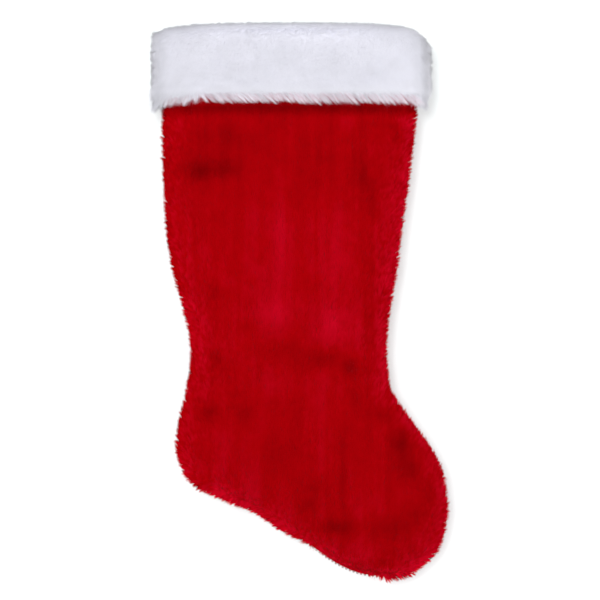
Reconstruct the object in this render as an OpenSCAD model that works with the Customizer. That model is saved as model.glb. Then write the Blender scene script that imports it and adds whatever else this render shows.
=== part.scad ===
// Hanging stocking: a red plush leg sewn from two panels, a white long-pile
// cuff turned over the mouth, a woven lining, the seam threads that hold them
// together, and a ribbon hanging loop sewn into the heel-side seam.
// X runs from heel to toe, Y from front to back, Z up. Millimetres.

/* [Leg] */
// Height from the top of the cuff to the bottom of the toe
stocking_h = 458; // [400:2:520]
// Thickness of the leg from front to back, pile included
leg_t = 36; // [32:1:44]
// Thickness of one plush panel, pile included
plush_t = 5; // [3.5:0.5:6]
// Width of the seam allowance at the edge of a plush panel
seam_w = 5; // [4:0.5:6]
// Squareness of the leg's cross-section, 2 is an ellipse
fullness = 2.8; // [2.4:0.1:3.4]

/* [Lining] */
// Thickness of the lining cloth
lining_t = 1; // [0.6:0.1:1.2]
// Clearance between lining and plush
lining_gap = 0.3; // [0.2:0.1:0.5]

/* [Cuff] */
// Height of the cuff
cuff_h = 72; // [56:1:84]
// Thickness of the cuff outside the leg, pile included
cuff_t = 11; // [8:0.5:13]
// Thickness of the facing turned down inside the mouth
facing_t = 3; // [2:0.5:3]
// Depth of the facing inside the mouth
facing_h = 27; // [24:1:40]
// Drop of the cuff's top edge towards its two ends
cuff_crown = 4; // [0:0.5:4]

/* [Seams] */
// Gap between front and back pieces where the seam runs
seam_gap = 1.6; // [1.4:0.1:2]
// Diameter of the seam thread
thread_d = 1.2; // [0.8:0.1:1.2]

/* [Hanging loop] */
// Width of the ribbon
ribbon_w = 8; // [6:0.5:8]
// Thickness of one layer of ribbon
ribbon_t = 1.2; // [0.8:0.1:1.2]
// Inner radius of the loop's eye
eye_r = 7; // [5:0.5:7]
// Distance from the fold at the rim to the middle of the eye
loop_len = 30; // [26:1:34]

/* [Hidden] */

// Cutting pattern at a height of 458: for each cross-line its end on the heel
// side [x, z], its end on the toe side [x, z], and half the thickness there.
// x is measured from the middle of the cuff, z from the cuff's top edge.
PATTERN = [
    [-104,  -13, 104,  -13, 18],
    [-105,  -60, 104,  -60, 18],
    [-105,  -95, 101,  -95, 18],
    [-104, -135,  96, -135, 18],
    [-102, -170,  91, -170, 18],
    [ -97, -203,  87, -203, 18],
    [ -89, -232,  82, -232, 17.5],
    [ -83, -258,  79, -256, 17],
    [ -82, -280,  79, -280, 17],
    [ -86, -305,  82, -302, 17],
    [ -91, -326,  89, -315, 17.5],
    [ -94, -345,  97, -326, 18],
    [ -92, -360, 104, -336, 18.5],
    [ -82, -377, 110, -344, 18.5],
    [ -60, -389, 116, -352, 18.5],
    [ -33, -400, 121, -361, 18],
    [  -8, -417, 125, -371, 17.5],
    [  14, -432, 127, -383, 17],
    [  34, -446, 128, -395, 16],
    [  52, -454, 127, -407, 14.5],
    [  72, -457, 124, -420, 12.5],
    [  90, -455, 119, -432, 9],
    [ 102, -448, 112, -440, 5]
];
k  = stocking_h / 458;
tk = leg_t / 36;
last = len(PATTERN) - 1;
g  = seam_gap / 2;
rows = 38;                       // cross-lines of a leg panel
cols = 16;                       // strips across a leg panel
inner_end = 21 / 22;             // the inside of the toe stops short of the tip

// Mouth of the leg, which the cuff is shaped to
mouth_a = 104 * k;
mouth_t = 18 * tk;
cuff_in = 1.8;                                        // cuff clear of the leg
face_out = -(seam_w + lining_gap + lining_t + 0.8);   // facing clear of the lining
face_in  = face_out - facing_t;
cuff_under = -6.5;                                    // underside of the turned-over rim

// Where the loop folds, and its eye
fold_x = -87.4 * k;
fold_z = -9.5;
fold_off = 0.4 + ribbon_t;                 // from the fold's axis to the middle of the stem
stem_x = fold_x + fold_off;
eye_x = stem_x + eye_r;
eye_z = fold_z - loop_len;

// Smooth curve through the pattern's cross-lines
function along(a, b, c, d, t) =
    0.5 * (2 * b + (c - a) * t + (2 * a - 5 * b + 4 * c - d) * t * t
           + (3 * b - a - 3 * c + d) * t * t * t);
function line_at(i) = PATTERN[max(0, min(last, i))];
function cross_line(t) =
    let (i = min(floor(t), last - 1))
    along(line_at(i - 1), line_at(i), line_at(i + 1), line_at(i + 2), t - i);

// Rounded cross-section: 1 in the middle, 0 at the two seams
function bulge(u) = pow(max(0, 1 - pow(abs(u), fullness)), 1 / fullness);
// Across from -1 to 1, closer together towards the seams
function across(i, n) = i == 0 ? -1 : i == n ? 1 : -cos(180 * i / n);

// A point on the front of the leg: t along, u across, drawn in by e at the
// seam and by d in thickness
function leg_point(t, u, e, d) =
    let (s = cross_line(t),
         a = [s[0], s[1]] * k, b = [s[2], s[3]] * k,
         half = norm(b - a) / 2, way = (b - a) / (2 * half),
         q = (a + b) / 2 + way * u * (half - e),
         thick = max(0.6, s[4] * tk - d))
    [q[0], -(g + thick * bulge(u)), q[1]];
function leg_grid(share, e, d) =
    [for (j = [0 : rows], i = [0 : cols])
        leg_point(last * share * j / rows, across(i, cols), e, d)];

// Closed shell between an outer and an inner grid of the same size
module shell(outer, inner, nr, nc) {
    n = (nr + 1) * (nc + 1);
    function at(j, i) = j * (nc + 1) + i;
    faces = concat(
        [for (j = [0 : nr - 1], i = [0 : nc - 1], f = [0, 1])
            f == 0 ? [at(j, i), at(j, i + 1), at(j + 1, i + 1)]
                   : [at(j, i), at(j + 1, i + 1), at(j + 1, i)]],
        [for (j = [0 : nr - 1], i = [0 : nc - 1], f = [0, 1])
            f == 0 ? [n + at(j, i), n + at(j + 1, i + 1), n + at(j, i + 1)]
                   : [n + at(j, i), n + at(j + 1, i), n + at(j + 1, i + 1)]],
        [for (i = [0 : nc - 1], f = [0, 1])
            f == 0 ? [at(0, i + 1), at(0, i), n + at(0, i)]
                   : [at(0, i + 1), n + at(0, i), n + at(0, i + 1)]],
        [for (i = [0 : nc - 1], f = [0, 1])
            f == 0 ? [at(nr, i), at(nr, i + 1), n + at(nr, i + 1)]
                   : [at(nr, i), n + at(nr, i + 1), n + at(nr, i)]],
        [for (j = [0 : nr - 1], f = [0, 1])
            f == 0 ? [at(j, 0), at(j + 1, 0), n + at(j + 1, 0)]
                   : [at(j, 0), n + at(j + 1, 0), n + at(j, 0)]],
        [for (j = [0 : nr - 1], f = [0, 1])
            f == 0 ? [at(j + 1, nc), at(j, nc), n + at(j, nc)]
                   : [at(j + 1, nc), n + at(j, nc), n + at(j + 1, nc)]]);
    polyhedron(points = concat(outer, inner), faces = faces, convexity = 6);
}

// Round thread along points, with its second direction held at up
module thread(points, r, up, closed = false, sides = 8) {
    n = len(points);
    function tangent(i) =
        closed ? points[(i + 1) % n] - points[(i + n - 1) % n]
               : points[min(n - 1, i + 1)] - points[max(0, i - 1)];
    ring = [for (i = [0 : n - 1])
        let (w = cross(tangent(i), up), a = w / norm(w))
        for (s = [0 : sides - 1])
            points[i] + r * (cos(360 * s / sides) * a + sin(360 * s / sides) * up)];
    function at(i, s) = (i % n) * sides + (s % sides);
    walls = [for (i = [0 : closed ? n - 1 : n - 2], s = [0 : sides - 1], f = [0, 1])
        f == 0 ? [at(i, s), at(i + 1, s + 1), at(i + 1, s)]
               : [at(i, s), at(i, s + 1), at(i + 1, s + 1)]];
    ends = closed ? [] : [[for (s = [sides - 1 : -1 : 0]) at(0, s)],
                          [for (s = [0 : sides - 1]) at(n - 1, s)]];
    polyhedron(points = ring, faces = concat(walls, ends), convexity = 8);
}

module plush_panel() {
    shell(leg_grid(1, 0, 0), leg_grid(inner_end, seam_w, plush_t), rows, cols);
}

module lining_panel() {
    shell(leg_grid(inner_end, seam_w + lining_gap, plush_t + lining_gap),
          leg_grid(inner_end, seam_w + lining_gap + lining_t, plush_t + lining_gap + lining_t),
          rows, cols);
}

// Section of the turned-over cuff: [distance outside the leg, height]
cuff_section = [
    [cuff_in, 4 - cuff_h],
    [cuff_t * 0.36, 1 - cuff_h],
    [cuff_t * 0.70, 0 - cuff_h],
    [cuff_t * 0.94, 5 - cuff_h],
    [cuff_t, cuff_h * 0.25 - cuff_h],
    [cuff_t, -cuff_h * 0.45],
    [cuff_t * 0.95, -cuff_h * 0.2],
    [cuff_t * 0.78, -6],
    [cuff_t * 0.45, -1.4],
    [0, 0],
    [face_in * 0.5, -0.4],
    [face_in * 0.85, -2.4],
    [face_in, -6.5],
    [face_in, -facing_h + 1],
    [face_in * 0.5 + face_out * 0.5, -facing_h],
    [face_out, -facing_h + 1],
    [face_out, cuff_under - 0.8],
    [face_out + 0.8, cuff_under],
    [cuff_in - 0.8, cuff_under],
    [cuff_in, cuff_under - 0.8]
];
cuff_cols = 32;
function crowned(z, u) = z - cuff_crown * pow(abs(u), 4) * (1 + z / cuff_h);
module cuff_panel() {
    m = len(cuff_section);
    pts = [for (i = [0 : cuff_cols]) let (u = across(i, cuff_cols))
        for (c = cuff_section)
            [(mouth_a + c[0]) * u, -(g + (mouth_t + c[0]) * bulge(u)), crowned(c[1], u)]];
    function at(i, j) = i * m + j % m;
    walls = [for (i = [0 : cuff_cols - 1], j = [0 : m - 1], f = [0, 1])
        f == 0 ? [at(i, j), at(i, j + 1), at(i + 1, j + 1)]
               : [at(i, j), at(i + 1, j + 1), at(i + 1, j)]];
    ends = [[for (j = [m - 1 : -1 : 0]) at(0, j)], [for (j = [0 : m - 1]) at(cuff_cols, j)]];
    polyhedron(points = pts, faces = concat(walls, ends), convexity = 8);
}

// Everything is placed with the middle of the loop's eye at the origin
module place() { translate([-eye_x, 0, -eye_z]) children(); }
module behind() { mirror([0, 1, 0]) children(); }

module leg_front() { color("#a8060f") place() plush_panel(); }
module leg_back() { color("#a8060f") place() behind() plush_panel(); }
module lining_front() { color("#efece6") place() lining_panel(); }
module lining_back() { color("#efece6") place() behind() lining_panel(); }
module cuff_front() { color("#f2f2f6") place() cuff_panel(); }
module cuff_back() { color("#f2f2f6") place() behind() cuff_panel(); }

// Seam that closes the leg from the mouth round the heel, sole and toe
module side_seam_thread() {
    inset = seam_w / 2;
    function heel_side(t) = let (s = cross_line(t), a = [s[0], s[1]] * k, b = [s[2], s[3]] * k,
        q = a + (b - a) / norm(b - a) * inset) [q[0], 0, q[1]];
    function toe_side(t) = let (s = cross_line(t), a = [s[0], s[1]] * k, b = [s[2], s[3]] * k,
        q = b - (b - a) / norm(b - a) * inset) [q[0], 0, q[1]];
    color("#7d040b") place()
        thread(concat([for (j = [0 : 38]) heel_side(last * (j + 0.1) / 38.4)],
                      [for (j = [38 : -1 : 0]) toe_side(last * (j + 0.1) / 38.4)]),
               thread_d / 2, [0, 1, 0]);
}

// The two upright seams at the ends of the cuff
module cuff_seam_thread() {
    color("#e4e4ea") place()
        for (side = [-1, 1])
            translate([side * (mouth_a + cuff_t * 0.58), 0, 8 - cuff_h])
                cylinder(h = cuff_h - 8 - 14, d = thread_d, $fn = 24);
}

// Seam round the mouth, where the cuff is turned over the leg and lining
module mouth_seam_thread() {
    n = 60;
    ring = [for (i = [0 : n - 1])
        let (w = 360 * i / n, u = cos(w), side = sin(w) < 0 ? -1 : 1,
             d = -seam_w / 2)
        [(mouth_a + d) * u, side * ((mouth_t + d) * bulge(u) + g * min(1, abs(sin(w)) * 4)),
         crowned(cuff_under, u) - 0.7 - thread_d / 2]];
    color("#e4e4ea") place() thread(ring, thread_d / 2, [0, 0, 1], closed = true);
}

// Free part of the ribbon: fold at the rim, doubled stem and round eye
module hanging_loop() {
    color("#f4f1ea") place()
        rotate([90, 0, 0])
            translate([0, 0, -ribbon_w / 2])
                difference() {
                    union() {
                        translate([eye_x, eye_z, 0]) cylinder(h = ribbon_w, r = eye_r + ribbon_t, $fn = 64);
                        translate([stem_x - ribbon_t, eye_z, 0]) cube([2 * ribbon_t, loop_len, ribbon_w]);
                        translate([fold_x, fold_z, 0]) cylinder(h = ribbon_w, r = ribbon_t, $fn = 48);
                        translate([fold_x, fold_z - ribbon_t, 0]) cube([fold_off, 2 * ribbon_t, ribbon_w]);
                        translate([stem_x, fold_z, 0]) cylinder(h = ribbon_w, r = ribbon_t, $fn = 48);
                    }
                    translate([eye_x, eye_z, -1]) cylinder(h = ribbon_w + 2, r = eye_r, $fn = 64);
                }
}

// Sewn-down ends of the ribbon, across the corner of the heel-side seam
tab_top = fold_z - ribbon_t - 0.3;
tab_h = 17;
tab_x = fold_x - fold_off;
module loop_ends() {
    color("#f4f1ea") place()
        translate([tab_x - ribbon_t, -ribbon_w / 2, tab_top - tab_h])
            cube([2 * ribbon_t, ribbon_w, tab_h]);
}

// Bar tacks that sew the ribbon's ends to the facing on both sides
module loop_bartack() {
    reach = ribbon_w / 2 + 2;
    color("#e4e4ea") place()
        for (z = [3 : 2.2 : 14])
            translate([tab_x, reach, tab_top - z])
                rotate([90, 0, 0]) cylinder(h = 2 * reach, d = thread_d * 0.75, $fn = 24);
}

leg_front();
leg_back();
lining_front();
lining_back();
cuff_front();
cuff_back();
side_seam_thread();
cuff_seam_thread();
mouth_seam_thread();
hanging_loop();
loop_ends();
loop_bartack();
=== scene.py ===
import math

import bpy
import numpy as np
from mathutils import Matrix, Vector, kdtree


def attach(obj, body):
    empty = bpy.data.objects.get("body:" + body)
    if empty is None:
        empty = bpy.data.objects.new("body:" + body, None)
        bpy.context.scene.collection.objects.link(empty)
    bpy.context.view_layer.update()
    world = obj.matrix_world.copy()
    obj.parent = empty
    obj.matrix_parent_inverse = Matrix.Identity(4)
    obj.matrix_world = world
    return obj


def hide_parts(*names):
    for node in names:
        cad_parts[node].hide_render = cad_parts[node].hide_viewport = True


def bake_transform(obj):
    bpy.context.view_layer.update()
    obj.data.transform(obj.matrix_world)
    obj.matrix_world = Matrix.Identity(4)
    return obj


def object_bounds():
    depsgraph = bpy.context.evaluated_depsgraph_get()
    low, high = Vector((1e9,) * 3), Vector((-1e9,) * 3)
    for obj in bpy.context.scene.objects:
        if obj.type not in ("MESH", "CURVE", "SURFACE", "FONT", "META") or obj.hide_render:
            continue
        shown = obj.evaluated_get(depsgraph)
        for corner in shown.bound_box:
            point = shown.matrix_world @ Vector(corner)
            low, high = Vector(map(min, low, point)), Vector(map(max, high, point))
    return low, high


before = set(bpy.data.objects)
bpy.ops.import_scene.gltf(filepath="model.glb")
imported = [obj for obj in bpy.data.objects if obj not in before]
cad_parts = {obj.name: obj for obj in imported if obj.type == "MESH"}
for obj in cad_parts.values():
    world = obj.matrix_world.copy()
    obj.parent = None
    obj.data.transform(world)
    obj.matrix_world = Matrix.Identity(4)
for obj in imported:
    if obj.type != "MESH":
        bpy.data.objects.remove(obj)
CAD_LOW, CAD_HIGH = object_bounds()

# ----------------------------------------------------------------------------
# Working coordinates are the cutting pattern's: millimetres, x from the middle
# of the cuff, z from the cuff's top edge, y from the middle of the thickness,
# front at -y. ROW moves them to the part's own frame, in metres.
# ----------------------------------------------------------------------------
EYE = np.array([-78.8, 0.0, -39.5])


def row(p):
    return (np.asarray(p, float) - EYE) / 1000.0


PATTERN = np.array([
    [-104, -13, 104, -13, 18], [-105, -60, 104, -60, 18], [-105, -95, 101, -95, 18],
    [-104, -135, 96, -135, 18], [-102, -170, 91, -170, 18], [-97, -203, 87, -203, 18],
    [-89, -232, 82, -232, 17.5], [-83, -258, 79, -256, 17], [-82, -280, 79, -280, 17],
    [-86, -305, 82, -302, 17], [-91, -326, 89, -315, 17.5], [-94, -345, 97, -326, 18],
    [-92, -360, 104, -336, 18.5], [-82, -377, 110, -344, 18.5], [-60, -389, 116, -352, 18.5],
    [-33, -400, 121, -361, 18], [-8, -417, 125, -371, 17.5], [14, -432, 127, -383, 17],
    [34, -446, 128, -395, 16], [52, -454, 127, -407, 14.5], [72, -457, 124, -420, 12.5],
    [90, -455, 119, -432, 9], [102, -448, 112, -440, 5]], float)
LAST = len(PATTERN) - 1
FULL = 2.8                      # squareness of the cross-section
GAP = 0.8                       # half the gap between front and back at a seam
MOUTH_A, MOUTH_T = 104.0, 18.0  # half width and half thickness of the mouth
CUFF_H, CROWN = 72.0, 4.0


def clamp01(x):
    return np.clip(x, 0.0, 1.0)


def smooth(a, b, x):
    t = clamp01((x - a) / (b - a))
    return t * t * (3 - 2 * t)


def unit(v):
    return v / np.maximum(np.linalg.norm(v, axis=-1, keepdims=True), 1e-9)


def lattice(ix, iy, iz, seed):
    h = (ix.astype(np.int64) * 374761393 + iy.astype(np.int64) * 668265263
         + iz.astype(np.int64) * 1274126177 + seed * 974634777) & 0xFFFFFFFF
    h = ((h ^ (h >> 13)) * 1103515245) & 0xFFFFFFFF
    h = ((h ^ (h >> 16)) * 2246822519) & 0xFFFFFFFF
    return ((h ^ (h >> 15)) & 0xFFFFFF) / float(0xFFFFFF) * 2 - 1


def noise(p, size, seed, octaves=2):
    """Smooth noise from about -1 to 1, with features about size across."""
    out, amp, total = np.zeros(len(p)), 1.0, 0.0
    for o in range(octaves):
        q = np.asarray(p, float) / np.asarray(size, float) * 2 ** o
        i = np.floor(q).astype(np.int64)
        f = q - i
        f = f * f * (3 - 2 * f)
        v = 0
        for dx in (0, 1):
            for dy in (0, 1):
                for dz in (0, 1):
                    w = (np.where(dx, f[:, 0], 1 - f[:, 0]) * np.where(dy, f[:, 1], 1 - f[:, 1])
                         * np.where(dz, f[:, 2], 1 - f[:, 2]))
                    v = v + w * lattice(i[:, 0] + dx, i[:, 1] + dy, i[:, 2] + dz, seed + 31 * o)
        out += amp * v
        total += amp
        amp *= 0.5
    return out / total * 1.5


# ----------------------------------------------------------------------------
# Surfaces
# ----------------------------------------------------------------------------
def cross_line(t):
    t = np.clip(np.asarray(t, float), 0, LAST)
    i = np.minimum(np.floor(t).astype(int), LAST - 1)
    f = (t - i)[:, None]
    a, b = PATTERN[np.maximum(i - 1, 0)], PATTERN[i]
    c, d = PATTERN[i + 1], PATTERN[np.minimum(i + 2, LAST)]
    return 0.5 * (2 * b + (c - a) * f + (2 * a - 5 * b + 4 * c - d) * f ** 2
                  + (3 * b - a - 3 * c + d) * f ** 3)


def bulge(u):
    return np.maximum(0, 1 - np.abs(u) ** FULL) ** (1 / FULL)


def parting(u):
    """Half the gap between front and back, closed where they are sewn together."""
    return -0.05 + (GAP + 0.05) * smooth(0.0, 0.3, bulge(u))


def leg_surface(t, a, e, d, side):
    """Points of the leg: t along, a across from 0 to 1, drawn in by e at the seams and d in thickness."""
    s = cross_line(t)
    lo, hi = s[:, 0:2], s[:, 2:4]
    half = np.linalg.norm(hi - lo, axis=1) / 2
    way = (hi - lo) / (2 * half[:, None])
    u = -np.cos(np.pi * np.asarray(a, float))
    q = (lo + hi) / 2 + way * (u * np.maximum(half - e, 0.8))[:, None]
    end = np.sqrt(clamp01((LAST - 0.25 - np.asarray(t, float)) / 1.3))         # shut at the tip of the toe
    thick = np.maximum(s[:, 4] - d, 0.8) * bulge(u) * end
    dent = 1.1 * noise(np.stack([q[:, 0], np.full(len(q), 40.0 * side), q[:, 1]], 1), 58, 11) * bulge(u) ** 2
    fade = smooth(LAST, LAST - 3, np.asarray(t, float))
    return np.stack([q[:, 0], side * (parting(u) * end - 0.02 * (1 - end) + thick + dent * fade), q[:, 1]], 1)


# Section of the cuff's cloth, turned over the mouth: distance outside the leg, height.
CUFF_LINE = np.array([[2.2, -58.5], [3.4, -56.0], [4.0, -51], [4.2, -42], [4.2, -30], [4.0, -18], [3.2, -11.4], [0.8, -8.0],
                      [-2.5, -7.2], [-5.6, -8.0], [-7.5, -11.0], [-8.0, -17], [-8.0, -26.5]])
CUFF_LEN = np.concatenate([[0], np.cumsum(np.linalg.norm(np.diff(CUFF_LINE, axis=0), axis=1))])


def line_at(line, length, s):
    """Smooth curve through a line's points, s in mm along it."""
    s = np.clip(np.asarray(s, float), 0, length[-1])
    i = np.clip(np.searchsorted(length, s, side="right") - 1, 0, len(line) - 2)
    f = ((s - length[i]) / (length[i + 1] - length[i]))[:, None]
    a, b = line[np.maximum(i - 1, 0)], line[i]
    c, d = line[i + 1], line[np.minimum(i + 2, len(line) - 1)]
    return 0.5 * (2 * b + (c - a) * f + (2 * a - 5 * b + 4 * c - d) * f ** 2
                  + (3 * b - a - 3 * c + d) * f ** 3)


def cuff_surface(s, a, out, side):
    """Points of the cuff: s in mm from the hem over the rim and down inside, a across from 0 to 1, moved out."""
    p = line_at(CUFF_LINE, CUFF_LEN, s)
    step = line_at(CUFF_LINE, CUFF_LEN, np.asarray(s) + 0.4) - line_at(CUFF_LINE, CUFF_LEN, np.asarray(s) - 0.4)
    step = unit(step)
    p = p + np.stack([step[:, 1], -step[:, 0]], 1) * np.asarray(out, float)[..., None]
    u = -np.cos(np.pi * np.asarray(a, float))
    z = p[:, 1] - CROWN * np.abs(u) ** 4 * (1 + p[:, 1] / CUFF_H)
    # the toe-side corner is rounded more than the heel-side one
    x = (MOUTH_A + p[:, 0]) * u
    k = clamp01((x - 86.0) / 23.0)
    z = z - 10.0 * (1 - np.sqrt(np.maximum(0, 1 - k * k))) * clamp01(1 + p[:, 1] / 40.0)
    return np.stack([(MOUTH_A + p[:, 0]) * u, side * (parting(u) + (MOUTH_T + p[:, 0]) * bulge(u)), z], 1)


def normals_of(surface, s, a, ds, da):
    """Outward normals of a surface with parameters s and a."""
    a = np.clip(a, 0.004, 0.996)
    along = surface(s + ds, a) - surface(s - ds, a)
    over = surface(s, np.clip(a + da, 0.001, 0.999)) - surface(s, np.clip(a - da, 0.001, 0.999))
    return unit(np.cross(over, along)), unit(along), unit(over)


# ----------------------------------------------------------------------------
# Meshes
# ----------------------------------------------------------------------------
def mesh_object(name, verts, faces, smooth_shade=True):
    """Mesh from row-frame vertices and an array of triangles or quads, or a list of such arrays."""
    me = bpy.data.meshes.new(name)
    groups = [np.asarray(f, np.int32) for f in (faces if isinstance(faces, list) else [faces])]
    loops = np.concatenate([g.ravel() for g in groups])
    sizes = np.concatenate([np.full(len(g), g.shape[1], np.int32) for g in groups])
    starts = np.concatenate([[0], np.cumsum(sizes)[:-1]]).astype(np.int32)
    me.vertices.add(len(verts))
    me.vertices.foreach_set("co", np.asarray(verts, np.float32).ravel())
    me.loops.add(len(loops))
    me.loops.foreach_set("vertex_index", loops)
    me.polygons.add(len(sizes))
    me.polygons.foreach_set("loop_start", starts)
    me.update(calc_edges=True)
    me.validate()
    me.polygons.foreach_set("use_smooth", np.full(len(me.polygons), smooth_shade))
    ob = bpy.data.objects.new(name, me)
    bpy.context.scene.collection.objects.link(ob)
    return ob


def float_attribute(ob, name, values):
    at = ob.data.attributes.new(name, "FLOAT", "POINT")
    at.data.foreach_set("value", np.asarray(values, np.float32))


def cloth_shell(name, outer, inner, nr, nc):
    """Closed sheet between two grids of (nr + 1) by (nc + 1) points."""
    n = (nr + 1) * (nc + 1)
    j, i = np.meshgrid(np.arange(nr), np.arange(nc), indexing="ij")
    at = lambda jj, ii: (jj * (nc + 1) + ii).ravel()
    front = np.stack([at(j, i), at(j, i + 1), at(j + 1, i + 1), at(j + 1, i)], 1)
    back = front[:, ::-1] + n
    rims = []
    for jj, flip in ((0, False), (nr, True)):
        k = np.arange(nc)
        q = np.stack([at(np.full(nc, jj), k + 1), at(np.full(nc, jj), k), at(np.full(nc, jj), k) + n,
                      at(np.full(nc, jj), k + 1) + n], 1)
        rims.append(q[:, ::-1] if flip else q)
    for ii, flip in ((0, False), (nc, True)):
        k = np.arange(nr)
        q = np.stack([at(k, np.full(nr, ii)), at(k + 1, np.full(nr, ii)), at(k + 1, np.full(nr, ii)) + n,
                      at(k, np.full(nr, ii)) + n], 1)
        rims.append(q[:, ::-1] if flip else q)
    return mesh_object(name, row(np.concatenate([outer, inner])), np.concatenate([front, back] + rims))


def fix_normals(ob):
    """Faces wound so that the closed mesh has its outside out."""
    me = ob.data
    co = np.zeros(len(me.vertices) * 3, np.float32)
    me.vertices.foreach_get("co", co)
    co = co.reshape(-1, 3).astype(float)
    me.calc_loop_triangles()
    tri = np.zeros(len(me.loop_triangles) * 3, np.int32)
    me.loop_triangles.foreach_get("vertices", tri)
    t = co[tri.reshape(-1, 3)] - co.mean(0)
    if np.einsum("ij,ij->", t[:, 0], np.cross(t[:, 1], t[:, 2])) < 0:
        me.flip_normals()
    return ob


def tube(path, r, sides=6, closed=False):
    """Vertices and quads of a round thread along row-frame points, r in metres."""
    p = np.asarray(path, float)
    n = len(p)
    tan = unit(np.roll(p, -1, 0) - np.roll(p, 1, 0)) if closed else unit(np.gradient(p, axis=0))
    ref = np.tile(np.array([0.37, 0.81, 0.45]), (n, 1))
    a = unit(np.cross(tan, ref))
    b = np.cross(tan, a)
    w = 2 * np.pi * np.arange(sides) / sides
    v = (p[:, None] + r * (np.cos(w)[None, :, None] * a[:, None] + np.sin(w)[None, :, None] * b[:, None])).reshape(-1, 3)
    i, s = np.meshgrid(np.arange(n if closed else n - 1), np.arange(sides), indexing="ij")
    q = np.stack([i * sides + s, i * sides + (s + 1) % sides, ((i + 1) % n) * sides + (s + 1) % sides,
                  ((i + 1) % n) * sides + s], -1).reshape(-1, 4)
    caps = []
    if not closed:
        caps = [np.arange(sides)[::-1][None], ((n - 1) * sides + np.arange(sides))[None]]
    return v, [q] + caps


def joined(parts):
    """One vertex list and face list from several (vertices, [faces])."""
    verts, faces, at = [], {}, 0
    for v, fs in parts:
        verts.append(v)
        for f in fs:
            faces.setdefault(f.shape[1], []).append(f + at)
        at += len(v)
    return np.concatenate(verts), [np.concatenate(f) for f in faces.values()]


# ----------------------------------------------------------------------------
# Pile
# ----------------------------------------------------------------------------
def scatter(surface, s_range, a_range, count, rng, ns=160, na=120):
    """Random parameters spread evenly over a surface's area."""
    s = np.linspace(*s_range, ns + 1)
    a = np.linspace(*a_range, na + 1)
    S, A = np.meshgrid(s, a, indexing="ij")
    p = surface(S.ravel(), A.ravel()).reshape(ns + 1, na + 1, 3)
    d1, d2 = p[1:, 1:] - p[:-1, :-1], p[1:, :-1] - p[:-1, 1:]
    area = np.linalg.norm(np.cross(d1, d2), axis=2).ravel() / 2
    cell = rng.choice(len(area), count, p=area / area.sum())
    i, j = cell // na, cell % na
    return s[i] + (s[1] - s[0]) * rng.random(count), a[j] + (a[1] - a[0]) * rng.random(count), area.sum()


def clumped(roots, tips, centres, centre_tips, pull):
    """Tips drawn towards the tip of the nearest tuft, and that tuft's number."""
    tree = kdtree.KDTree(len(centres))
    for k, c in enumerate(centres):
        tree.insert(c, k)
    tree.balance()
    near = np.fromiter((tree.find(p)[1] for p in roots), np.int64, len(roots))
    return tips + (centre_tips[near] - tips) * pull[:, None], near


def strands(name, roots, mids, tips, width, base_normal, tone, extra, rng, shading=0.75, even=1.0):
    """Closed three-sided strands. With mids they bend in the middle. Working coordinates in, one object out."""
    n = len(roots)
    first = unit((mids if mids is not None else tips) - roots)
    side_a = unit(np.cross(first, base_normal) + 1e-4)
    side_b = unit(np.cross(first, side_a))
    spin = rng.random(n) * 2 * np.pi
    rings, levels = [], []
    for centre, w, tip in ([(roots, 1.0, 0.0)] + ([(mids, 0.8, 0.55)] if mids is not None else [])):
        for k in range(3):
            ang = spin + k * 2 * np.pi / 3
            rings.append(centre + (np.cos(ang)[:, None] * side_a + np.sin(ang)[:, None] * side_b) * (width * w / 2)[:, None])
            levels.append(tip)
    rings.append(tips)
    levels.append(1.0)
    per = len(rings)
    verts = np.stack(rings, 1).reshape(-1, 3)
    radial = [np.cos(spin + k * 2 * np.pi / 3)[:, None] * side_a + np.sin(spin + k * 2 * np.pi / 3)[:, None] * side_b
              for k in range(3)]
    tri = [(0, 2, 1)]
    if mids is None:
        tri += [(0, 1, 3), (1, 2, 3), (2, 0, 3)]
    else:
        for k in range(3):
            m = (k + 1) % 3
            tri += [(k, m, 3 + m), (k, 3 + m, 3 + k), (3 + k, 3 + m, 6)]
    tri = np.array(tri)
    faces = (np.arange(n)[:, None, None] * per + tri[None]).reshape(-1, 3)
    ob = mesh_object(name, row(verts), faces)
    me = ob.data
    float_attribute(ob, "tip", np.tile(levels, n))
    float_attribute(ob, "tone", np.repeat(tone, per))
    for key, value in extra.items():
        # one value for a strand, or one at its root and one at its tip
        value = np.reshape(value, (n, -1))
        float_attribute(ob, key, np.concatenate([np.repeat(value[:, :1], per - 1, 1), value[:, -1:]], 1).ravel())
    # Soft shading: each strand takes most of its normal from the cloth that it stands on.
    share = np.broadcast_to(np.asarray(shading, float), (n,))[:, None]
    base_normal = unit(base_normal * np.array([1.0, even, 1.0]))     # short pile evens out the cloth's rounding
    soft = []
    for k in range(per):
        r = radial[k % 3] if k < per - 1 else np.zeros_like(base_normal)
        soft.append(unit(base_normal * share + r * (1 - share)))
    soft = np.stack(soft, 1).reshape(-1, 3)
    me.normals_split_custom_set_from_vertices(soft.tolist())
    # One small cell of the map for each strand, a third of it for each of its sides.
    grid = int(math.ceil(math.sqrt(n)))
    k = np.arange(n)
    cell = np.stack([k % grid, k // grid], 1) / grid
    uv = np.zeros((n, len(tri), 3, 2))
    level = np.array(levels)
    for f, tr in enumerate(tri):
        for c, v in enumerate(tr):
            if f == 0:
                uv[:, f, c] = [(0.15, 0.5, 0.85)[c], (0.03, 0.16, 0.03)[c]]
            else:
                sidek = (f - 1) if mids is None else (f - 1) // 3
                if v == per - 1:
                    x = (sidek + 0.5) / 3
                else:
                    x = (sidek + (0.08 if v % 3 == sidek else 0.92)) / 3
                uv[:, f, c] = [x, 0.04 + 0.92 * level[v]]
    uv = (cell[:, None, None] + uv / grid).reshape(-1, 2)
    layer = me.uv_layers.new(name="OFBake")
    layer.data.foreach_set("uv", uv.astype(np.float32).ravel())
    return ob


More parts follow.
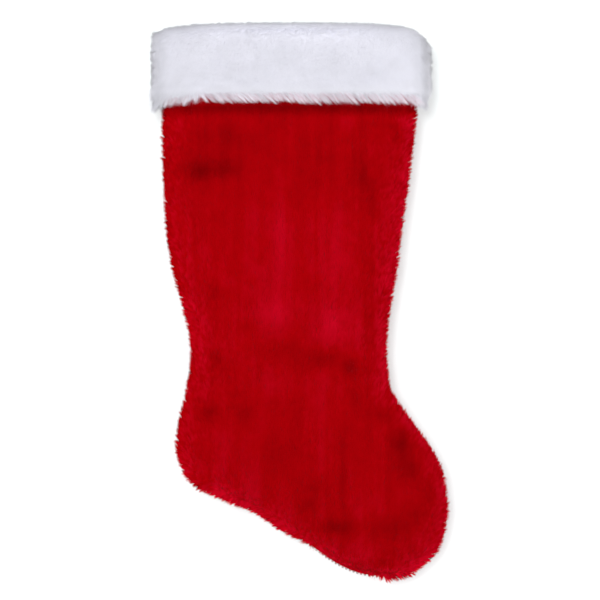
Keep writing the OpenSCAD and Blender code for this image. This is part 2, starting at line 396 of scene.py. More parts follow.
# ----------------------------------------------------------------------------
# Materials
# ----------------------------------------------------------------------------
def new_material(name, roughness, spec=0.3, sheen=0.0, sheen_tint=(1, 1, 1), sheen_rough=0.5):
    m = bpy.data.materials.new(name)
    m.use_nodes = True
    nt = m.node_tree
    b = nt.nodes["Principled BSDF"]
    b.inputs["Roughness"].default_value = roughness
    b.inputs["Specular IOR Level"].default_value = spec
    b.inputs["Sheen Weight"].default_value = sheen
    b.inputs["Sheen Tint"].default_value = (*sheen_tint, 1)
    b.inputs["Sheen Roughness"].default_value = sheen_rough
    return m, nt, b


def node(nt, kind, **inputs):
    n = nt.nodes.new(kind)
    for key, value in inputs.items():
        if key in n.inputs:
            n.inputs[key].default_value = value
        else:
            setattr(n, key, value)
    return n


def attribute(nt, name):
    n = nt.nodes.new("ShaderNodeAttribute")
    n.attribute_name = name
    return n.outputs["Fac"]


def math_node(nt, op, a, b=None, clamp=False):
    n = nt.nodes.new("ShaderNodeMath")
    n.operation, n.use_clamp = op, clamp
    for k, v in enumerate((a, b)):
        if v is None:
            continue
        if isinstance(v, (int, float)):
            n.inputs[k].default_value = v
        else:
            nt.links.new(v, n.inputs[k])
    return n.outputs[0]


def ramp(nt, fac, stops):
    n = nt.nodes.new("ShaderNodeValToRGB")
    els = n.color_ramp.elements
    while len(els) < len(stops):
        els.new(0.5)
    for e, (pos, col) in zip(els, stops):
        e.position, e.color = pos, (*col, 1) if len(col) == 3 else col
    nt.links.new(fac, n.inputs["Fac"])
    return n.outputs["Color"]


def times(nt, colour, factor):
    n = nt.nodes.new("ShaderNodeVectorMath")
    n.operation = "SCALE"
    nt.links.new(colour, n.inputs[0])
    nt.links.new(factor, n.inputs["Scale"])
    return n.outputs[0]


def object_noise(nt, scale, stretch=(1, 1, 1), detail=2.0, rough=0.5):
    c = nt.nodes.new("ShaderNodeTexCoord")
    mp = nt.nodes.new("ShaderNodeMapping")
    mp.inputs["Scale"].default_value = stretch
    nt.links.new(c.outputs["Object"], mp.inputs["Vector"])
    n = node(nt, "ShaderNodeTexNoise", Scale=scale, Detail=detail, Roughness=rough)
    nt.links.new(mp.outputs[0], n.inputs["Vector"])
    return n.outputs["Fac"]


def remap(nt, value, a, b, lo, hi):
    n = node(nt, "ShaderNodeMapRange")
    n.inputs["From Min"].default_value, n.inputs["From Max"].default_value = a, b
    n.inputs["To Min"].default_value, n.inputs["To Max"].default_value = lo, hi
    nt.links.new(value, n.inputs["Value"])
    return n.outputs[0]


def pile_material(name, stops, tone_span, sheen, sheen_tint, roughness, spec, blotch, painted_highlight_tint=None, plain=None):
    m, nt, b = new_material(name, roughness, spec, sheen, sheen_tint, 0.45)
    colour = ramp(nt, attribute(nt, "tip"), stops)
    fac = remap(nt, attribute(nt, "tone"), 0, 1, 1 - tone_span, 1 + tone_span)
    # the nap attribute carries the pile's tone with its painted shade and painted highlights
    fac = math_node(nt, "MULTIPLY", fac, attribute(nt, "nap"))
    if blotch:
        big = remap(nt, object_noise(nt, 17, (1, 1, 0.8), 2.5), 0.3, 0.7, 1 - blotch, 1 + blotch)
        streak = remap(nt, object_noise(nt, 1.0, (85, 30, 5), 2.0), 0.3, 0.7, 1 - blotch * 0.6, 1 + blotch * 0.6)
        fac = math_node(nt, "MULTIPLY", fac, math_node(nt, "MULTIPLY", big, streak))
    if plain:
        # painted red bounce: tinted pink where red lies behind, plain white at the ends, where there is no red behind
        mix = nt.nodes.new("ShaderNodeMix")
        mix.data_type = "RGBA"
        nt.links.new(attribute(nt, "painted_red_bounce"), mix.inputs["Factor"])
        [i for i in mix.inputs if i.name == "A" and i.type == "RGBA"][0].default_value = (*plain, 1)
        nt.links.new(colour, [i for i in mix.inputs if i.name == "B" and i.type == "RGBA"][0])
        colour = [o for o in mix.outputs if o.type == "RGBA"][0]
    colour = times(nt, colour, fac)
    if painted_highlight_tint:
        # painted highlight: where the pile's colour is lightest its tips are painted paler
        more = nt.nodes.new("ShaderNodeVectorMath")
        more.operation = "MULTIPLY_ADD"
        more.inputs[1].default_value = painted_highlight_tint
        nt.links.new(remap(nt, fac, 1.0, 1.4, 0.0, 1.0), more.inputs[0])
        nt.links.new(colour, more.inputs[2])
        colour = more.outputs[0]
    nt.links.new(colour, b.inputs["Base Color"])
    return m


def cloth_material(name, colour, dark, scale, bump, roughness, sheen=0.2):
    """Plain weave: two crossed sets of threads, over and under."""
    m, nt, b = new_material(name, roughness, 0.2, sheen, colour, 0.5)
    c = nt.nodes.new("ShaderNodeTexCoord")
    sep = nt.nodes.new("ShaderNodeSeparateXYZ")
    nt.links.new(c.outputs["Object"], sep.inputs[0])
    waves = []
    for out in ("X", "Z"):
        waves.append(math_node(nt, "SINE", math_node(nt, "MULTIPLY", sep.outputs[out], scale)))
    weave = math_node(nt, "ABSOLUTE", math_node(nt, "MULTIPLY", waves[0], waves[1]))
    fuzz = object_noise(nt, 900, (1, 1, 1), 2.0)
    height = math_node(nt, "ADD", weave, math_node(nt, "MULTIPLY", fuzz, 0.5))
    tone = remap(nt, object_noise(nt, 26, (1, 1, 1), 3.0), 0.3, 0.7, 0.92, 1.05)
    nt.links.new(times(nt, ramp(nt, weave, [(0.0, dark), (0.6, colour)]), tone), b.inputs["Base Color"])
    bp = node(nt, "ShaderNodeBump", Strength=bump, Distance=0.0004)
    nt.links.new(height, bp.inputs["Height"])
    nt.links.new(bp.outputs[0], b.inputs["Normal"])
    return m


def thread_material(name, colour, dark):
    m, nt, b = new_material(name, 0.6, 0.3, 0.2, colour, 0.4)
    c = nt.nodes.new("ShaderNodeTexCoord")
    w = node(nt, "ShaderNodeTexWave", Scale=900.0, Distortion=1.5)
    w.bands_direction = "DIAGONAL"
    nt.links.new(c.outputs["Object"], w.inputs["Vector"])
    nt.links.new(ramp(nt, w.outputs["Fac"], [(0.1, dark), (0.7, colour)]), b.inputs["Base Color"])
    bp = node(nt, "ShaderNodeBump", Strength=0.5, Distance=0.0002)
    nt.links.new(w.outputs["Fac"], bp.inputs["Height"])
    nt.links.new(bp.outputs[0], b.inputs["Normal"])
    return m


def ribbon_material(name, colour, dark):
    """Ribbed ribbon: fine ribs across its width, shining a little along them."""
    m, nt, b = new_material(name, 0.42, 0.45, 0.15, colour, 0.4)
    along = attribute(nt, "along")
    rib = math_node(nt, "SINE", math_node(nt, "MULTIPLY", along, 2 * math.pi / 0.7))
    edge = remap(nt, attribute(nt, "edge"), 0.72, 0.9, 0.0, 1.0)
    tone = remap(nt, object_noise(nt, 300, (1, 1, 1), 2.0), 0.3, 0.7, 0.95, 1.04)
    nt.links.new(times(nt, ramp(nt, remap(nt, rib, -1, 1, 0, 1), [(0.0, dark), (0.6, colour)]), tone), b.inputs["Base Color"])
    height = math_node(nt, "ADD", rib, math_node(nt, "MULTIPLY", edge, 2.0))
    bp = node(nt, "ShaderNodeBump", Strength=0.35, Distance=0.0002)
    nt.links.new(height, bp.inputs["Height"])
    nt.links.new(bp.outputs[0], b.inputs["Normal"])
    return m


# painted shade: the red, white and fringe piles are coloured darker towards their roots, where shade falls between the
# strands
RED_PILE = pile_material("red_pile", [(0.0, (0.379, 0.0002, 0.0019)), (0.5, (0.431, 0.0003, 0.0025)), (1.0, (0.470, 0.0005, 0.0036))],
                         0.035, 0.0, (1.0, 0.05, 0.06), 0.9, 0.0, 0.04, (0.0, 0.002, 0.013))
WHITE_PILE = pile_material("white_pile", [(0.0, (0.885, 0.885, 0.922)), (0.5, (0.895, 0.895, 0.93)), (1.0, (0.905, 0.905, 0.938))],
                           0.025, 0.0, (1.0, 1.0, 1.0), 0.9, 0.0, 0.0)
# painted red bounce: the fringe's tips are tinted pink, standing in for red light from the cloth behind them
FRINGE_PILE = pile_material("white_fringe", [(0.0, (0.70, 0.69, 0.72)), (0.5, (0.74, 0.72, 0.75)), (1.0, (0.92, 0.83, 0.86))],
                            0.26, 0.0, (1.0, 1.0, 1.0), 0.9, 0.0, 0.0, None, (0.80, 0.80, 0.83))
# painted red bounce: the fringe's under layer is tinted pink towards its tips, standing in for red light from the cloth
# behind it
UNDER_PILE = pile_material("white_under_fringe", [(0.0, (0.74, 0.70, 0.73)), (0.5, (0.74, 0.56, 0.61)), (1.0, (0.72, 0.34, 0.40))],
                           0.05, 0.0, (1.0, 1.0, 1.0), 0.9, 0.0, 0.0, None, (0.80, 0.80, 0.83))
RED_CLOTH = cloth_material("red_backing", (0.34, 0.001, 0.003), (0.25, 0.0, 0.002), 2600, 0.4, 0.85)
WHITE_CLOTH = cloth_material("white_backing", (0.80, 0.80, 0.86), (0.66, 0.66, 0.73), 2600, 0.4, 0.85)
LINING = cloth_material("lining_weave", (0.80, 0.78, 0.74), (0.62, 0.60, 0.56), 3200, 0.5, 0.8)
RED_THREAD = thread_material("red_thread", (0.26, 0.001, 0.003), (0.12, 0.0, 0.001))
WHITE_THREAD = thread_material("white_thread", (0.82, 0.82, 0.86), (0.60, 0.60, 0.66))
RIBBON = ribbon_material("ribbon", (0.86, 0.85, 0.82), (0.70, 0.69, 0.66))


def dress(ob, material, body="stocking"):
    ob.data.materials.clear()
    ob.data.materials.append(material)
    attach(ob, body)
    return ob


# ----------------------------------------------------------------------------
# Leg: cloth, lining and pile
# ----------------------------------------------------------------------------
SEAM_IN, FACE_IN = 4.4, 4.4     # how far the cloth lies inside the tips of the pile
NR, NC = 96, 44


def leg_grid(e, d, share, side):
    t = np.repeat(np.linspace(0, LAST * share, NR + 1), NC + 1)
    a = np.tile(np.linspace(0, 1, NC + 1), NR + 1)
    return leg_surface(t, a, e, d, side)


# Places where the nap has been ruffled: x, z, half width, half height, how much darker, as painted shade; the pile
# there also stands up.
RUFFLES = [(-75, -126, 13, 8, 0.36), (-53, -124, 12, 7, 0.24), (-51, -97, 7, 10, 0.16), (-71, -98, 8, 6, 0.12),
           (-29, -101, 12, 9, 0.09), (53, -114, 5, 9, 0.15), (58, -130, 5, 11, 0.18), (64, -147, 5, 11, 0.18),
           (68, -163, 5, 10, 0.12), (59, -196, 6, 26, 0.11), (62, -246, 5, 26, 0.12), (85, -98, 4, 16, 0.10),
           (-68, -173, 8, 10, 0.07), (-62, -228, 8, 9, 0.15), (-35, -253, 7, 7, 0.13), (-60, -281, 7, 11, 0.14),
           (-65, -324, 9, 8, 0.24), (-37, -324, 6, 10, 0.17), (25, -279, 18, 9, 0.20), (51, -286, 9, 8, 0.30),
           (-9, -272, 18, 8, 0.09), (55, -310, 7, 12, 0.16), (74, -326, 8, 7, 0.16), (89, -347, 8, 11, 0.30),
           (96, -368, 10, 13, 0.24), (110, -388, 8, 12, 0.15), (103, -406, 8, 7, 0.13), (42, -368, 3.5, 33, 0.14),
           (38, -416, 14, 6, 0.26), (76, -416, 24, 8, 0.15), (14, -398, 8, 6, 0.14), (-71, -378, 8, 5, 0.14),
           (72, -444, 12, 5, 0.12), (14, -218, 8, 11, 0.08), (20, -384, 12, 5, 0.10), (-18, -356, 12, 12, 0.05),
           (-58, -106, 42, 24, 0.06)]
# Places where it lies smooth and catches the light, painted lighter as a painted highlight; the pile there also lies
# down.
SMOOTHED = [(-13, -242, 16, 11, 0.17), (35, -252, 14, 12, 0.20), (8, -240, 40, 14, 0.06), (-8, -180, 4, 42, 0.08),
            (36, -196, 5, 42, 0.08), (-34, -200, 6, 24, 0.05), (48, -86, 8, 8, 0.13), (91, -82, 6, 10, 0.10),
            (-51, -350, 6, 17, 0.10), (-29, -366, 5, 24, 0.10), (55, -411, 6, 24, 0.11), (75, -279, 5, 16, 0.10),
            (-84, -240, 5, 22, 0.06), (-10, -300, 34, 8, 0.05), (-92, -90, 5, 30, 0.05), (62, -440, 8, 8, 0.06),
            (5, -200, 70, 60, 0.06)]


def ruffled(p):
    """How far the nap is ruffled, above 0, or smoothed, below 0, at points on the front."""
    f = np.zeros(len(p))
    for x, z, w, h, d in RUFFLES:
        f += d * np.exp(-(((p[:, 0] - x) / w) ** 2 + ((p[:, 2] - z) / h) ** 2))
    for x, z, w, h, d in SMOOTHED:
        f -= d * np.exp(-(((p[:, 0] - x) / w) ** 2 + ((p[:, 2] - z) / h) ** 2))
    return f


def nap_tone_and_painted_shading(p, front):
    """Shade of the pile by the way it lies, painted into its colour: painted shade where the nap is ruffled, painted
    highlight where it lies smooth, and random tone.
    """
    if front:
        f = 1 - (0.84 + 0.22 * smooth(-235, -280, p[:, 2])) * ruffled(p) + 0.03 * noise(p, (8, 40, 80), 75, 1)
    else:
        f = 1 + 0.09 * noise(p, (30, 40, 26), 71, 2) + 0.05 * noise(p, (8, 40, 60), 72, 1)
    f = f + 0.05 * noise(p, (6, 40, 9), 73, 2) + 0.045 * noise(p, (3, 40, 60), 74, 1)
    # painted shade, a little darker towards the top of the leg
    f = f * (1 - 0.05 * smooth(-190, -120, p[:, 2]))
    return f * (1 - 0.46 * smooth(-84, -74, p[:, 2]) + 0.22 * smooth(-75, -71, p[:, 2]))         # painted shadow under the cuff's hem, with a painted lighter strip right below the fringe


def leg_side(side):
    word = "front" if side < 0 else "back"
    rng = np.random.default_rng(2024 if side < 0 else 2025)
    share = 1 - 0.25 / LAST
    cloth = fix_normals(cloth_shell(f"leg_{word}_cloth", leg_grid(SEAM_IN, FACE_IN, share, side),
                                    leg_grid(SEAM_IN + 1.2, FACE_IN + 1.2, share, side), NR, NC))
    dress(cloth, RED_CLOTH)
    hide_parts(f"leg_{word}")
    lining = fix_normals(cloth_shell(f"lining_{word}_cloth", leg_grid(5.6, 5.9, 20.9 / LAST, side),
                                     leg_grid(6.3, 6.6, 20.9 / LAST, side), NR, NC))
    dress(lining, LINING)
    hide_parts(f"lining_{word}")

    surface = lambda t, a: leg_surface(t, a, SEAM_IN, FACE_IN, side)
    up = np.array([0.0, 0.0, 1.0])

    def grow(t, a, length_scale=1.0):
        root = surface(t, a)
        n, _, _ = normals_of(surface, t, a, 0.04, 0.004)
        n = n * np.sign(np.einsum("ij,ij->i", n, root - np.stack([root[:, 0] * 0.8, root[:, 1] * 0, root[:, 2]], 1)) + 1e-9)[:, None]
        n = unit(n * np.stack([np.ones(len(n)), smooth(-1.0, 6.0, np.abs(root[:, 1])), np.ones(len(n))], 1))     # over the seam
        swirl = 0.35 * noise(root, (46, 46, 60), 5 + side, 2) + 0.15 * noise(root, 9, 9 + side, 1)
        if side < 0:
            swirl = swirl + 2.0 * np.maximum(ruffled(root), 0) * np.sign(noise(root, 60, 8, 1))
        nap = unit(up + np.array([1.0, 0, 0]) * swirl[:, None])
        nap = unit(nap - n * np.einsum("ij,ij->i", nap, n)[:, None])
        edge = np.minimum(a, 1 - a)
        lean = np.radians(46 - 8 * smooth(0.12, 0.0, edge)) + 0.08 * noise(root, 14, 3, 2)
        if side < 0:
            lean = lean - 0.75 * np.clip(ruffled(root), -0.12, 0.3)          # ruffled pile stands up, smoothed pile lies down
        return root, n, nap, lean

    # Tufts first, then the strands that gather towards them.
    count = 24000
    tt, ta, _ = scatter(surface, (0.9, LAST * share), (0.0, 1.0), count, rng)
    root, n, nap, lean = grow(tt, ta)
    lean = lean + rng.normal(0, 0.10, count)
    way = unit(n * np.cos(lean)[:, None] + nap * np.sin(lean)[:, None] + rng.normal(0, 0.09, (count, 3)))
    side_on = smooth(9.0, 3.0, np.abs(root[:, 1]))
    edge_more = 1.0 if side < 0 else 0.1          # the front's edge stands a little over the back's
    long_ = (6.5 + edge_more * side_on) * (1 + (0.03 + 0.08 * side_on) * rng.normal(0, 1, count))
    tuft_root, tuft_tip, tuft_tone = root, root + way * long_[:, None], rng.random(count)

    names = (("top", 0.75, 2.35), ("upper", 2.35, 4.3), ("middle", 4.3, 7.2), ("ankle", 7.2, 11.2), ("heel", 11.2, 14.6),
             ("foot", 14.6, LAST * share))
    per_mm2 = 2.6
    for part, t0, t1 in names:
        probe = scatter(surface, (t0, t1), (0.0, 1.0), 10, rng)[2]
        count = min(int(probe * per_mm2), 49000)
        t, a, _ = scatter(surface, (t0, t1), (0.0, 1.0), count, rng)
        root, n, nap, lean = grow(t, a)
        lean = lean + rng.normal(0, 0.12, count)
        way = unit(n * np.cos(lean)[:, None] + nap * np.sin(lean)[:, None] + rng.normal(0, 0.12, (count, 3)))
        side_on = smooth(9.0, 3.0, np.abs(root[:, 1]))
        long_ = (6.5 - (0.0 if side < 0 else 0.6) * side_on) * np.clip(1 + 0.06 * rng.normal(0, 1, count), 0.7, 1.3)
        tip = root + way * long_[:, None]
        pull = 0.06 + 0.16 * rng.random(count) + side_on * (0.42 + 0.3 * rng.random(count))
        tip, near = clumped(root, tip, tuft_root, tuft_tip, pull)
        root = root - n * 0.35
        tone = 0.7 * tuft_tone[near] + 0.3 * rng.random(count)
        width = 0.74 * (0.75 + 0.5 * rng.random(count))
        # painted highlight: the tips along the edges are painted lighter, most of all under the foot and on the toe
        # side, with a random speckle by tuft
        rim = smooth(14.0, 5.0, np.abs(root[:, 1]))
        shade = nap_tone_and_painted_shading(root, side < 0) * (1 + rim * (0.12 + 0.10 * np.clip(n[:, 0], 0, 1) + 0.24 * np.clip(-1.2 * n[:, 2], 0, 1)
                                                           + 0.4 * (tuft_tone[near] - 0.5)))
        if side < 0:      # painted shade: the heel-side edge, which faces the light, is darkened, more so higher up
            shade = shade * (1 - (0.16 + 0.09 * smooth(-270, -190, root[:, 2])) * np.clip(-n[:, 0] - 0.1, 0, 1))
        lit = unit(n + np.array([0, 0.9 * side, 0]) * side_on[:, None])
        ob = strands(f"leg_{word}_pile_{part}", root, None, tip, width, lit, tone,
                     {"nap": shade}, rng, 0.9 - 0.4 * side_on, 2.5)
        dress(ob, RED_PILE)
    # Stray hairs along the edges.
    made = []
    for hand, a0, a1 in (("heel_side", 0.0, 0.07), ("toe_side", 0.93, 1.0)):
        count = 1500
        t, a, _ = scatter(surface, (1.3, LAST * share), (a0, a1), count, rng)
        root, n, nap, lean = grow(t, a)
        way = unit(n + nap * rng.normal(0.7, 0.35, count)[:, None] + rng.normal(0, 0.3, (count, 3)))
        tip = root + way * (5.6 + 2.0 * rng.random(count))[:, None]
        made.append(strands(f"leg_{word}_fuzz_{hand}", root - n * 0.35, None, tip, np.full(count, 0.34), n, rng.random(count),
                            {"nap": nap_tone_and_painted_shading(root, side < 0) * 1.1}, rng, 0.5, 2.5))
        dress(made[-1], RED_PILE)


# ----------------------------------------------------------------------------
# Cuff: cloth turned over the mouth, and its long pile
# ----------------------------------------------------------------------------
CUFF_PILE = []
RIM = float(CUFF_LEN[8])        # distance along the section to the top of the rim


def hem_drop(x):
    """How far the fringe hangs below the hem, along the cuff's width."""
    x = np.asarray(x, float)
    drop = 0.4 * np.sin(x / 13.0) + 0.3 * np.sin(x / 5.3 + 1)
    drop += 0.9 * smooth(-74, -79, x) + 2.2 * smooth(-80, -106, x)
    drop += 4.5 * smooth(98, 107, np.abs(x))
    return drop


def painted_fur_shading(x, z, ss, fringe):
    """Painted shading of the long pile on the front: greyer towards the top edge and both ends, where it turns away
    from the light, with painted lighter and darker bands at the hem, the fringe and the ends.
    """
    f = 1 + 0.025 * smooth(-40, -25, z) + 0.055 * smooth(-22, -13, z)
    left = smooth(15, -60, x)
    f = f - (0.18 + 0.10 * left) * smooth(-11.0 - 4.5 * left, -4.3 - 0.7 * left, z) * (1 - 0.6 * smooth(RIM - 2, RIM + 1, ss))
    f = f - 0.15 * smooth(-55, -100, x) * smooth(-26, -10, z) - 0.13 * smooth(50, 95, x) * smooth(-30, -12, z)
    if not fringe:
        f = f + 0.05 * np.exp(-((z + 60.0) / 2.5) ** 2)
    else:
        f = f + 0.06 - 0.18 * smooth(-60, -66, z) * smooth(103, 94, np.abs(x))
    heel = -0.20 * smooth(-96, -111, x) + 0.16 * smooth(-110.5, -113.5, x) - 0.06 * smooth(-70, -80, x) * smooth(-50, -58, z)
    toe = 0.03 * smooth(60, 90, x) - 0.06 * smooth(95, 104, x) - 0.15 * smooth(104, 108.5, x) + 0.14 * smooth(109.5, 112.5, x)
    return f * (1 + heel + toe)


def cuff_side(side):
    word = "front" if side < 0 else "back"
    rng = np.random.default_rng(3024 if side < 0 else 3025)
    nr, nc = 60, 56
    s = np.repeat(np.linspace(0, CUFF_LEN[-1], nr + 1), nc + 1)
    a = np.tile(np.linspace(0, 1, nc + 1), nr + 1)
    cloth = fix_normals(cloth_shell(f"cuff_{word}_cloth", cuff_surface(s, a, np.full(len(s), 0.5), side),
                                    cuff_surface(s, a, np.full(len(s), -0.5), side), nr, nc))
    dress(cloth, WHITE_CLOTH)
    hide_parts(f"cuff_{word}")

    surface = lambda ss, aa: cuff_surface(ss, aa, np.full(len(np.atleast_1d(ss)), 0.4), side)

    def grow(ss, aa):
        root = surface(ss, aa)
        n, along, over = normals_of(surface, ss, aa, 0.4, 0.004)
        # outward is away from the leg outside the rim, and into the mouth inside it
        out = np.where((ss < RIM)[:, None], 1.0, -1.0) * np.stack([root[:, 0] * 0.05, root[:, 1], 0 * root[:, 2]], 1)
        out[:, 2] = np.where(np.abs(ss - RIM) < 8, 20.0, 0.0)
        n = n * np.sign(np.einsum("ij,ij->i", n, out) + 1e-9)[:, None]
        return root, n, along, over

    def nap_of(root, along, over, ss):
        # One nap all over the cloth, up the inside, over the rim and down the face, fanned out to the sides at the hem.
        x = root[:, 0]
        low = smooth(22, 4, ss)
        fan = (-0.8 * smooth(-72, -80, x) + 0.8 * smooth(-80, -72, x)) * low
        swirl = 0.62 * noise(root, (24, 24, 20), 23 + side, 2) * (1 - 0.7 * low) * (1 - 0.85 * smooth(RIM - 22, RIM - 10, ss))
        return unit(-along + over * (fan + swirl)[:, None])

    def shape(root, n, along, over, ss, aa, spread, k, tuft):
        nap = nap_of(root, along, over, ss)
        low = smooth(10, 0, ss)
        inside = smooth(RIM + 2, RIM + 14, ss)
        top = np.exp(-((ss - RIM) / 7.0) ** 2)
        edge = smooth(0.1, 0.0, np.minimum(aa, 1 - aa))
        lean = np.radians((50 - 12 * top) * (1 - 0.45 * edge * (1 - low)) + 16 * low)
        lean = lean + 0.10 * noise(root, 12, 41, 2) * (1 - 0.7 * smooth(RIM - 22, RIM - 10, ss)) + rng.normal(0, spread, k)
        way = unit(n * np.cos(lean)[:, None] + nap * np.sin(lean)[:, None] + rng.normal(0, spread * 0.8, (k, 3)))
        corner = (smooth(-97, -104, root[:, 0]) * smooth(11, 4, np.abs(root[:, 1]))
                  * smooth(RIM - 13, RIM - 6, ss) * smooth(RIM + 6, RIM + 1, ss))      # squarer on the heel side
        way = unit(way + 1.6 * corner[:, None] * np.array([-0.7, 0.1 * side, 0.7]))
        heel = smooth(-74, -79, root[:, 0])
        long_ = 10.4 - 5.0 * inside - 5.8 * top - 2.0 * edge * (1 - low) - 5.4 * low * (1 - 0.85 * heel) + 1.6 * corner
        long_ = long_ - 1.5 * smooth(-97, -104, root[:, 0]) * (1 - low)
        long_ = long_ + (6.5 if side < 0 else 3.0) * low * smooth(98, 106, np.abs(root[:, 0]))
        long_ = long_ + 1.1 * np.maximum(top, edge * (1 - low)) * noise(root, 2.6, 57, 2)
        ragged = np.maximum(edge, top * 0.8)
        ragged = np.maximum(ragged, smooth(18, 8, ss))
        long_ = long_ * np.clip(1 + (0.04 + 0.13 * ragged) * rng.normal(0, 1, k) + 0.05 * tuft * ragged, 0.55, 1.45)
        return root + way * long_[:, None], np.maximum(edge * 0.8, 0.8 * np.exp(-((ss - RIM - 1) / 3.5) ** 2))

    def fringe_tips(root, n, along, over, k, spread, extra):
        x = root[:, 0]
        end = smooth(98, 106, np.abs(x))
        fan = -0.45 * smooth(-75, -79, x) + 1.05 * smooth(-79, -75, x) * (1 - end) + rng.normal(0, spread, k)
        down = unit(-along + np.array([0, 0, -0.6]) + end[:, None] * np.sign(x)[:, None] * np.array([0.3, 0, 0]))
        way = unit(down + over * fan[:, None] + n * (0.32 + rng.normal(0, spread * 0.6, k))[:, None])
        drop = hem_drop(x) - (3.5 * end if side > 0 else 0.0)
        return root + way * ((extra + 12.0 + drop) * np.sqrt(1 + fan ** 2))[:, None]

    count = 14000
    ts, ta, _ = scatter(surface, (0, CUFF_LEN[-1]), (0, 1), count, rng)
    t_root, t_n, t_along, t_over = grow(ts, ta)
    t_tip, _ = shape(t_root, t_n, t_along, t_over, ts, ta, 0.12, count, 1.0)
    t_tone = rng.random(count)

    # Larger locks, which show where the pile fans out.
    count = 1700
    bs, ba, _ = scatter(surface, (0, CUFF_LEN[-1]), (0, 1), count, rng)
    b_root, b_n, b_along, b_over = grow(bs, ba)
    b_tip, _ = shape(b_root, b_n, b_along, b_over, bs, ba, 0.14, count, 0.0)
    b_tone = rng.random(count)

    # Locks of the fringe: a row along the hem.
    fine = np.linspace(0, 1, 2001)
    run = surface(np.full(2001, 1.0), fine)
    run = np.concatenate([[0], np.cumsum(np.linalg.norm(np.diff(run, axis=0), axis=1))])
    lock_s, lock_a = [], []
    for level, shift in ((2.0, 0.0),):
        at = (np.arange(int(run[-1] / 2.1)) + shift) * 2.1
        at = at + rng.normal(0, 0.35, len(at))
        lock_a.append(np.interp(at, run, fine))
        lock_s.append(level + 1.2 * rng.random(len(at)))
    lock_s, lock_a = np.concatenate(lock_s), np.concatenate(lock_a)
    l_root, l_n, l_along, l_over = grow(lock_s, lock_a)
    l_tip = fringe_tips(l_root, l_n, l_along, l_over, len(l_root), 0.06, rng.normal(0, 0.7, len(l_root)))
    l_tone = rng.random(len(l_root))

    dense = 1.0 if side < 0 else 0.75
    parts = (("hem", 0.0, 12.0, 11.0), ("low", 12.0, 28.0, 8.0), ("high", 28.0, 44.0, 8.0), ("top", 44.0, RIM - 6, 8.0),
             ("rim", RIM - 6, RIM + 9, 8.0), ("facing", RIM + 9, CUFF_LEN[-1], 4.0), ("fringe", 0.0, 5.6, 3.4), ("under", 0.0, 4.0, 2.6),
             ("fuzz", 0.0, RIM + 12, 0.9), ("rim_fuzz", RIM - 5, RIM + 4, 1.8))
    made = []
    for part, s0, s1, per_mm2 in parts:
        probe = scatter(surface, (s0, s1), (0, 1), 10, rng)[2]
        count = min(int(probe * per_mm2 * dense), 49500)
        ss, aa, _ = scatter(surface, (s0, s1), (0, 1), count, rng)
        root, n, along, over = grow(ss, aa)
        if part == "under":
            lock, loose = np.zeros(count, int), np.zeros(count)
            tip, side_on = fringe_tips(root, n, along, over, count, 0.3, rng.normal(-1.6, 0.9, count)), np.ones(count)
            tip = tip - n * 0.8
            near, lock_tone = rng.integers(0, len(t_tone), count), t_tone
        elif part == "fringe":
            lock, loose = np.zeros(count, int), np.zeros(count)
            tip, side_on = fringe_tips(root, n, along, over, count, 0.25, rng.normal(0, 0.9, count)), np.ones(count)
            tip, near = clumped(root, tip, l_root, l_tip, 0.58 + 0.34 * rng.random(count))
            lock_tone = l_tone
        elif part in ("fuzz", "rim_fuzz"):
            # A few stray hairs stand up from the rest.
            nap = nap_of(root, along, over, ss)
            way = unit(n + nap * rng.normal(0.45, 0.35, count)[:, None] + rng.normal(0, 0.28, (count, 3)))
            reach = 7.6 - (2.6 if part == "rim_fuzz" else 3.0) * np.exp(-((ss - RIM) / 7.0) ** 2) - 1.6 * smooth(0.1, 0.0, np.minimum(aa, 1 - aa))
            tip, side_on = root + way * (reach * (0.9 + 0.25 * rng.random(count)))[:, None], np.zeros(count)
            near, lock_tone = rng.integers(0, len(t_tone), count), t_tone
            lock, loose = np.zeros(count, int), np.zeros(count)
        else:
            tip, side_on = shape(root, n, along, over, ss, aa, 0.16, count, 0.0)
            pull = 0.1 + 0.2 * rng.random(count) + side_on * (0.15 + 0.3 * rng.random(count))
            tip, near = clumped(root, tip, t_root, t_tip, pull)
            loose = smooth(17, 9, np.abs(root[:, 1])) * smooth(4, 12, ss)
            if side < 0:
                loose = loose * (1 - 1.0 * smooth(RIM - 20, RIM - 12, ss) * smooth(RIM + 4, RIM, ss) * smooth(100, 92, np.abs(root[:, 0])))
            loose = np.maximum(loose, 0.1 if side < 0 else 0.6)
            tip, lock = clumped(root, tip, b_root, b_tip, loose * (0.25 + 0.3 * rng.random(count)))
            lock_tone = t_tone
        # Leave the ribbon and the place it folds through clear.
        if part in ("rim", "facing", "fuzz", "rim_fuzz"):
            keep = np.ones(count, bool)
            for p in (root, tip):
                keep &= ~((p[:, 0] < -82.5) & (p[:, 0] > -94.0) & (np.abs(p[:, 1]) < 5.2))
            root, tip, n, near, side_on, ss = root[keep], tip[keep], n[keep], near[keep], side_on[keep], ss[keep]
            lock, loose = lock[keep], loose[keep]
        k = len(root)
        tone = 0.75 * lock_tone[near] + 0.25 * rng.random(k)
        width = {"fringe": 0.31, "under": 0.34, "fuzz": 0.3, "rim_fuzz": 0.34}.get(part, 0.62) / math.sqrt(dense) * (0.75 + 0.5 * rng.random(k))
        # random tone by lock, with painted shade slightly darker towards the heel side, and a little darker at the hem
        nap = (1 + 0.022 * noise(root, 7, 77, 3)) * (1 + 0.07 * loose * (b_tone[lock] - 0.6) + 0.00012 * root[:, 0]) * (1 - 0.03 * smooth(7, 3, ss))
